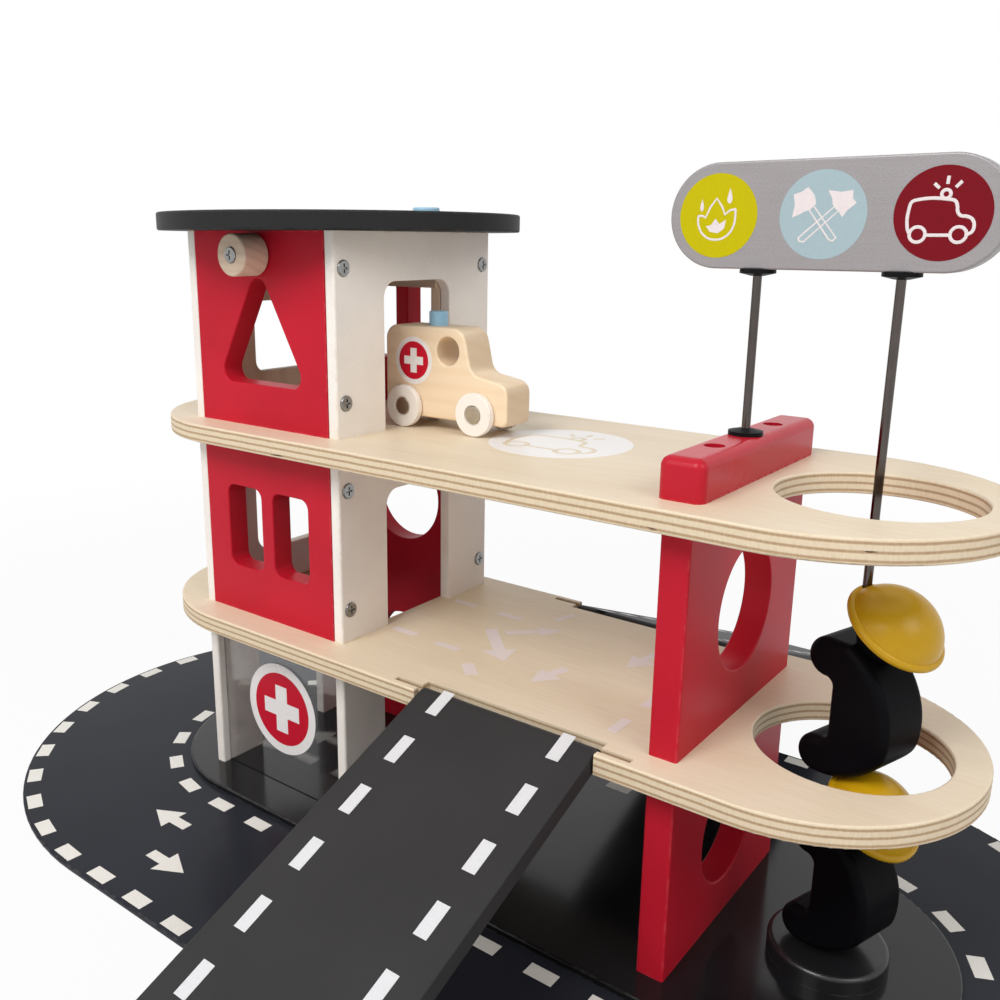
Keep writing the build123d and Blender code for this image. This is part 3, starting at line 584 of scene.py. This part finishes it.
# A pale disc with the same van in bare wood colour is printed on the upper deck,
# where the ambulance parks in front of the lift.
on_upper = Matrix.Translation((0, 0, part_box("upper_deck")[1].z))
parking_x, parking_y, parking_radius = 0.0285, 0.0063, 0.033
parking_van_y, parking_van_scale, parking_line_width = 0.006, 2.1, 0.0021
parking_field = [disc(parking_x, parking_y, parking_radius)]
parking_pale = ink("parking_ink", tint(240, 236, 233))
parking = printed("parking_disc", parking_field, on_upper, parking_pale, "station")
parking_van = traced(van, parking_x, parking_van_y, parking_van_scale)
parking_wood = ink("parking_line_ink", tint(226, 210, 182))
line = drawn_line("parking_line", parking_van, parking_line_width, on_upper, parking_wood)


# Two ramps of 8 mm board, sprayed dark grey, hang on steel pins in the notches of the
# middle deck. Two rows of white dashes are printed down each.
ramp_slope = math.radians(21.3)
pin_y, pin_height, ramp_half_thickness = 0.066, 0.0985, 0.004
ramp_rows, ramp_dash_count = (0.02, 0.081), 9
first_ramp_dash, ramp_dash_step = 0.0032, 0.0284
for side, ramp in ((-1, "front_ramp"), (1, "rear_ramp")):
    # The paler edge colour is edge wear and a painted highlight on the rounded edges.
    ramp_grey, ramp_edge_wear_and_highlight = tint(54, 53, 54), tint(92, 90, 87)
    spray(ramp, ramp_grey, ramp_edge_wear_and_highlight, roughness=0.5, peel=0.4, gloss=0.1)
    pin = Matrix.Translation((0, side * pin_y, pin_height))
    lean = Matrix.Rotation(side * -ramp_slope, 4, "X")
    lie = pin @ lean @ Matrix.Translation((0, 0, ramp_half_thickness))
    dashes = []
    for x in ramp_rows:
        for k in range(ramp_dash_count):
            y = side * (first_ramp_dash + k * ramp_dash_step)
            dashes.append(dash(x, y, math.pi / 2, length=0.0142, width=0.0058))
    ramp_white = ink(ramp + "_white_ink", tint(216, 216, 218))
    ramp_print = printed(ramp + "_dashes", dashes, lie, ramp_white, ramp + "_part")
    steel(ramp + "_pin", tint(180, 178, 174), roughness=0.25, grain=(0.02, 1, 1))


# The winch: a beech shaft through the house with a turned knob, both left bare.
# The lift: a car of thin beech boards, glued, that slides in the house.
def bare_wood(node, pale, deep, grain, step, roughness=0.45):
    """Bare timber: growth rings as long bands and darker end grain; grain is its long axis."""
    material, shader, place = start_finish(node + "_timber", roughness)
    along = [0.07 if axis == grain else 1.0 for axis in range(3)]
    fibre = place.stretch(*along).specks(size=0.0008, detail=5.0)
    warp = place.stretch(*[share * 0.6 for share in along]).specks(size=0.02, detail=3.0)
    x, y, z = place.axes()
    rise = (x if grain == 2 else z) + y * 0.35
    turns = rise * (math.tau / step) + warp * 5.5
    ring_line = turns.maths("SINE", turns).smooth(-0.2, 1.0)
    figure = (ring_line * 0.3 + fibre * 0.45 + warp * 0.25).smooth(0.1, 0.9)
    facing = place.node("NewGeometry", {}, {}, out="Normal").axes()[grain]
    end_grain = abs(facing).smooth(0.6, 0.9)
    coloured = figure.mix(pale, deep)
    (end_grain * 0.5).mix(coloured, shade(deep, 0.72)).feed(shader, "Base Color")
    (roughness + figure * 0.12 + end_grain * 0.1).feed(shader, "Roughness")
    (fibre + ring_line * 0.3).emboss(shader, depth=0.00007, strength=0.45)
    give(node, material)


pale_beech, deep_beech = tint(228, 208, 186), tint(214, 188, 162)
for turned in ("winch_shaft", "winch_knob"):
    bare_wood(turned, pale_beech, deep_beech, grain=1, step=0.004)
for board in ("lift_floor", "lift_top_frame"):
    bare_wood(board, pale_beech, deep_beech, grain=1, step=0.005)
for board in ("lift_left_wall", "lift_front_post", "lift_rear_post"):
    bare_wood(board, pale_beech, deep_beech, grain=2, step=0.005)


# The ambulance: sawn from a 19 mm block of bare wood and sanded. White wheels turn on
# steel axles, a blue beacon is glued in the roof, and the first-aid sign is on its side.
van_pale, van_deep = tint(240, 217, 186), tint(235, 208, 173)
bare_wood("ambulance_body", van_pale, van_deep, grain=0, step=0.0075)
van_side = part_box("ambulance_body")[0].y
first_aid_sign(
    "ambulance_sign", body="ambulance",
    x=-0.0497, height=0.2368, front=van_side, radius=0.0115,
)
spray(
    "ambulance_beacon", beacon_blue, beacon_edge_wear_and_highlight,
    roughness=0.32, coat=0.1, edges=round_edges,
)
for wheels in ("front_wheels", "rear_wheels"):
    spray(wheels, tint(240, 233, 225), tint(222, 208, 190), roughness=0.35)
for axle in ("front_axle", "rear_axle"):
    steel(axle, tint(192, 181, 162), roughness=0.34)


# Two firefighters slide on the pole: black lacquered bodies shaped like a hook, each with
# a ball for a head under a yellow lacquered helmet.
# The paler edge colours of the black and the yellow are edge wear and a painted highlight on the
# rounded edges.
lacquer_black, lacquer_edge_wear_and_highlight = tint(13, 12, 15), tint(24, 23, 26)
helmet_yellow, helmet_edge_wear_and_highlight = tint(194, 150, 14), tint(206, 168, 48)
for figure in ("lower_firefighter", "upper_firefighter"):
    for part in ("_body", "_head"):
        spray(figure + part, lacquer_black, lacquer_edge_wear_and_highlight, roughness=0.4, peel=0.2, gloss=0.03)
    helmet = figure + "_helmet"
    spray(helmet, helmet_yellow, helmet_edge_wear_and_highlight, roughness=0.32, peel=0.2, gloss=0.3)


# The picture's studio: a pale paper floor under a white surround, a broad lamp high in front,
# weak ones on the left and on the right, and the camera where the picture was taken.
def in_sight(tree):
    """1 for what is seen, also in gloss or through glass, and 0 for light on its way."""
    path = tree.nodes.new("ShaderNodeLightPath").outputs
    rays = Socket(path["Is Camera Ray"]) + Socket(path["Is Glossy Ray"])
    rays = rays + Socket(path["Is Transmission Ray"])
    return rays.maths("MINIMUM", rays, 1.0)


floor_mesh = bpy.data.meshes.new("studio_floor")
floor_shape = bmesh.new()
bmesh.ops.create_grid(floor_shape, x_segments=8, y_segments=8, size=6.0)
floor_shape.to_mesh(floor_mesh)
floor_shape.free()
floor = bpy.data.objects.new("studio_floor", floor_mesh)
bpy.context.scene.collection.objects.link(floor)
material, shader, place = start_finish("floor_paper", roughness=0.9)
paper = place.specks(size=0.4, detail=2.0)
paper.mix(tint(218, 218, 218), tint(222, 222, 222)).feed(shader, "Base Color")
glow = place.node("Emission", {}, {"Color": (1, 1, 1, 1), "Strength": 1.0})
x, y = place.axes()[:2]
away = place.maths("SQRT", x * x + y * y).smooth(0.45, 1.0)
factor = in_sight(material.node_tree) * (0.93 + away * 0.07)
surface = place.node("MixShader", {}, {0: factor, 1: Socket(shader.outputs[0]), 2: glow})
surface.feed(material.node_tree.nodes["Material Output"], "Surface")
floor.data.materials.append(material)

world = bpy.data.worlds.new("studio")
bpy.context.scene.world = world
world.use_nodes = True
sky = world.node_tree.nodes["Background"]
(0.5 + in_sight(world.node_tree) * 0.5).feed(sky, "Strength")
sky.inputs["Color"].default_value = (1, 1, 1, 1)

lit_point = Vector((0, 0, 0.15))
for name, at, size, power in (
    ("front_lamp", (-0.08, -1.28, 1.4), 0.7, 18),
    ("left_lamp", (-0.75, -1.25, 1.15), 0.9, 2),
    ("right_lamp", (1.15, -0.3, 1.0), 0.7, 5),
):
    light = bpy.data.lights.new(name, "AREA")
    light.size = size
    light.energy = power
    lamp = bpy.data.objects.new(name, light)
    bpy.context.scene.collection.objects.link(lamp)
    lamp.location = at
    lamp.rotation_euler = (lit_point - Vector(at)).to_track_quat("-Z", "Y").to_euler()

lens = bpy.data.cameras.new("camera")
lens.sensor_width = 36
lens.lens = 35.8
lens.shift_x = 0.0405
lens.shift_y = -0.0088
lens.clip_start = 0.01
camera = bpy.data.objects.new("camera", lens)
bpy.context.scene.collection.objects.link(camera)
yaw, pitch, roll = math.radians(37.94), math.radians(14.17), math.radians(0.34)
level_ahead = Vector((-math.sin(yaw), math.cos(yaw), 0)) * math.cos(pitch)
ahead = level_ahead - Vector((0, 0, math.sin(pitch)))
right = Vector((math.cos(yaw), math.sin(yaw), 0))
up = right.cross(ahead)
tilted_right = right * math.cos(roll) + up * math.sin(roll)
tilted_up = up * math.cos(roll) - right * math.sin(roll)
turn = Matrix((tilted_right, tilted_up, -ahead)).transposed().to_4x4()
camera.matrix_world = Matrix.Translation((0.26676, -0.37427, 0.2937)) @ turn
bpy.context.scene.camera = camera
bpy.context.scene.view_settings.view_transform = "Standard"
